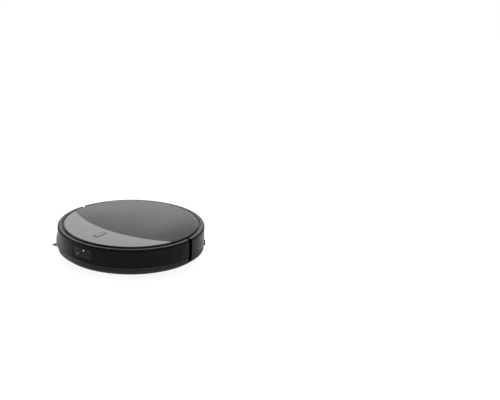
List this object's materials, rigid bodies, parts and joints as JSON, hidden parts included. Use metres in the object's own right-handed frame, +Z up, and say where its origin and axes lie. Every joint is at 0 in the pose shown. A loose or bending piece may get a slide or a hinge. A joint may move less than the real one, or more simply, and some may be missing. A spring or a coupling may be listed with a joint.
{
  "type": "robot vacuum",
  "caption": "Low round robot vacuum and mop with a sprung bumper, lift-off lid over its dust bin, side brush, roller brush, drive wheels and spinning mop pads.",
  "frame": {"origin": "on the floor, under the middle of the whole robot's box; the round body's axis stands 4 mm further along +X, because the side brush reaches past the body on -X", "axes": "+Z up; -Y is the robot's front, with the sensor window; +X is the robot's own left"},
  "size_m": [0.3578, 0.35, 0.0803],
  "materials": {
    "shell": "satin dark grey shell",
    "panel": "satin mid-grey front panel",
    "lid": "satin dark grey lid",
    "gloss": "polished smoked black",
    "black_plastic": "fine-grained black moulding",
    "grey_plastic": "plain grey moulding",
    "smoke": "smoked translucent moulding",
    "rubber": "soft black rubber",
    "tuft": "pale grey nylon bristle",
    "mop_cloth": "looped grey microfibre",
    "steel": "plain spring and shaft steel",
    "contact": "bright plated contact",
    "board": "green lacquered board",
    "battery_wrap": "blue shrink wrap",
    "white": "plain white"
  },
  "bodies": {
    "robot": {"chassis_base": "black_plastic", "upper_frame": "black_plastic", "trim_ring": "shell", "rear_shell": "shell", "front_panel": "panel", "bumper_spring_left": "steel", "bumper_spring_right": "steel", "bumper_switch_left": "black_plastic", "bumper_switch_right": "black_plastic", "camera_module": "gloss", "status_light": "white", "distance_sensor": "gloss", "main_board": "board", "cliff_sensor_front_left": "gloss", "cliff_sensor_front_right": "gloss", "cliff_sensor_left": "gloss", "cliff_sensor_right": "gloss", "charge_contact_left": "contact", "charge_contact_right": "contact", "brush_chamber": "black_plastic", "main_brush_gearbox": "grey_plastic", "side_brush_gearbox": "grey_plastic", "battery": "battery_wrap", "battery_cover": "black_plastic", "fan_housing": "grey_plastic", "water_tank": "smoke", "suspension_spring_left": "steel", "suspension_spring_right": "steel"},
    "lid": {"top_lid": "lid"},
    "bin": {"dust_bin": "smoke", "dust_filter": "white"},
    "bumper": {"bumper": "shell", "sensor_window": "gloss", "side_sensor_cover": "black_plastic"},
    "button": {"power_button": "panel"},
    "side_brush": {"side_brush_hub": "grey_plastic", "side_brush_tuft_outer": "tuft", "side_brush_tuft_inner": "tuft"},
    "main_brush": {"main_brush": "rubber"},
    "brush_cover": {"main_brush_cover": "grey_plastic"},
    "caster": {"caster_fork": "grey_plastic"},
    "caster_wheel": {"caster_wheel": "rubber"},
    "fan": {"fan_impeller": "white"},
    "arm_left": {"suspension_arm_left": "black_plastic"},
    "wheel_left": {"wheel_tyre_left": "rubber", "wheel_hub_left": "grey_plastic"},
    "mop_carrier_left": {"mop_motor_left": "grey_plastic"},
    "mop_left": {"mop_spindle_left": "steel", "mop_plate_left": "black_plastic", "mop_pad_left": "mop_cloth"},
    "roller_left": {"guide_roller_left": "rubber"},
    "arm_right": {"suspension_arm_right": "black_plastic"},
    "wheel_right": {"wheel_tyre_right": "rubber", "wheel_hub_right": "grey_plastic"},
    "mop_carrier_right": {"mop_motor_right": "grey_plastic"},
    "mop_right": {"mop_spindle_right": "steel", "mop_plate_right": "black_plastic", "mop_pad_right": "mop_cloth"},
    "roller_right": {"guide_roller_right": "rubber"}
  },
  "joints": [
    {"name": "lid_lift", "type": "slide", "parent": "robot", "child": "lid", "axis": [0, 0, 1], "range_m": [0, 0.1]},
    {"name": "bin_lift", "type": "slide", "parent": "robot", "child": "bin", "axis": [0, 0, 1], "range_m": [0, 0.06]},
    {"name": "bumper_press", "type": "slide", "parent": "robot", "child": "bumper", "axis": [0, 1, 0], "range_m": [0, 0.0035], "stiffness_N_per_m": 700, "springref_m": -0.002, "deforming": ["bumper_spring_left", "bumper_spring_right"]},
    {"name": "button_press", "type": "slide", "parent": "robot", "child": "button", "axis": [0, 0, -1], "range_m": [0, 0.001], "stiffness_N_per_m": 1500, "springref_m": -0.0005},
    {"name": "side_brush_spin", "type": "hinge", "parent": "robot", "child": "side_brush", "pos_m": [-0.094, -0.094, 0.008], "axis": [0, 0, 1], "continuous": true, "deforming": ["side_brush_tuft_outer", "side_brush_tuft_inner"]},
    {"name": "main_brush_spin", "type": "hinge", "parent": "robot", "child": "main_brush", "pos_m": [0.004, -0.052, 0.021], "axis": [1, 0, 0], "continuous": true},
    {"name": "brush_cover_drop", "type": "slide", "parent": "robot", "child": "brush_cover", "axis": [0, 0, -1], "range_m": [0, 0.03]},
    {"name": "caster_swivel", "type": "hinge", "parent": "robot", "child": "caster", "pos_m": [0.004, -0.134, 0.024], "axis": [0, 0, 1], "continuous": true},
    {"name": "caster_roll", "type": "hinge", "parent": "caster", "child": "caster_wheel", "pos_m": [0.004, -0.129, 0.011], "axis": [1, 0, 0], "continuous": true},
    {"name": "fan_spin", "type": "hinge", "parent": "robot", "child": "fan", "pos_m": [0.004, 0.064, 0.05], "axis": [0, 0, 1], "continuous": true},
    {"name": "suspension_left", "type": "hinge", "parent": "robot", "child": "arm_left", "pos_m": [0.112, -0.044, 0.03], "axis": [-1, 0, 0], "range_deg": [0, 25], "stiffness_Nm_per_rad": 1, "springref_deg": 25.78},
    {"name": "wheel_spin_left", "type": "hinge", "parent": "arm_left", "child": "wheel_left", "pos_m": [0.125, 0, 0.034], "axis": [1, 0, 0], "continuous": true},
    {"name": "mop_lift_left", "type": "slide", "parent": "robot", "child": "mop_carrier_left", "axis": [0, 0, 1], "range_m": [0, 0.01]},
    {"name": "mop_spin_left", "type": "hinge", "parent": "mop_carrier_left", "child": "mop_left", "pos_m": [0.07, 0.078, 0.01], "axis": [0, 0, 1], "continuous": true},
    {"name": "roller_spin_left", "type": "hinge", "parent": "robot", "child": "roller_left", "pos_m": [0.13052, 0.11799, 0.027], "axis": [0, 0, 1], "continuous": true},
    {"name": "suspension_right", "type": "hinge", "parent": "robot", "child": "arm_right", "pos_m": [-0.104, -0.044, 0.03], "axis": [-1, 0, 0], "range_deg": [0, 25], "stiffness_Nm_per_rad": 1, "springref_deg": 25.78},
    {"name": "wheel_spin_right", "type": "hinge", "parent": "arm_right", "child": "wheel_right", "pos_m": [-0.117, 0, 0.034], "axis": [1, 0, 0], "continuous": true},
    {"name": "mop_lift_right", "type": "slide", "parent": "robot", "child": "mop_carrier_right", "axis": [0, 0, 1], "range_m": [0, 0.01]},
    {"name": "mop_spin_right", "type": "hinge", "parent": "mop_carrier_right", "child": "mop_right", "pos_m": [-0.062, 0.078, 0.01], "axis": [0, 0, 1], "continuous": true},
    {"name": "roller_spin_right", "type": "hinge", "parent": "robot", "child": "roller_right", "pos_m": [-0.12252, 0.11799, 0.027], "axis": [0, 0, 1], "continuous": true}
  ],
  "couplings": [
    {"joint": "bin_lift", "follows": "lid_lift", "ratio": 0.6},
    {"joint": "mop_lift_right", "follows": "mop_lift_left", "ratio": 1},
    {"joint": "mop_spin_right", "follows": "mop_spin_left", "ratio": -1}
  ]
}
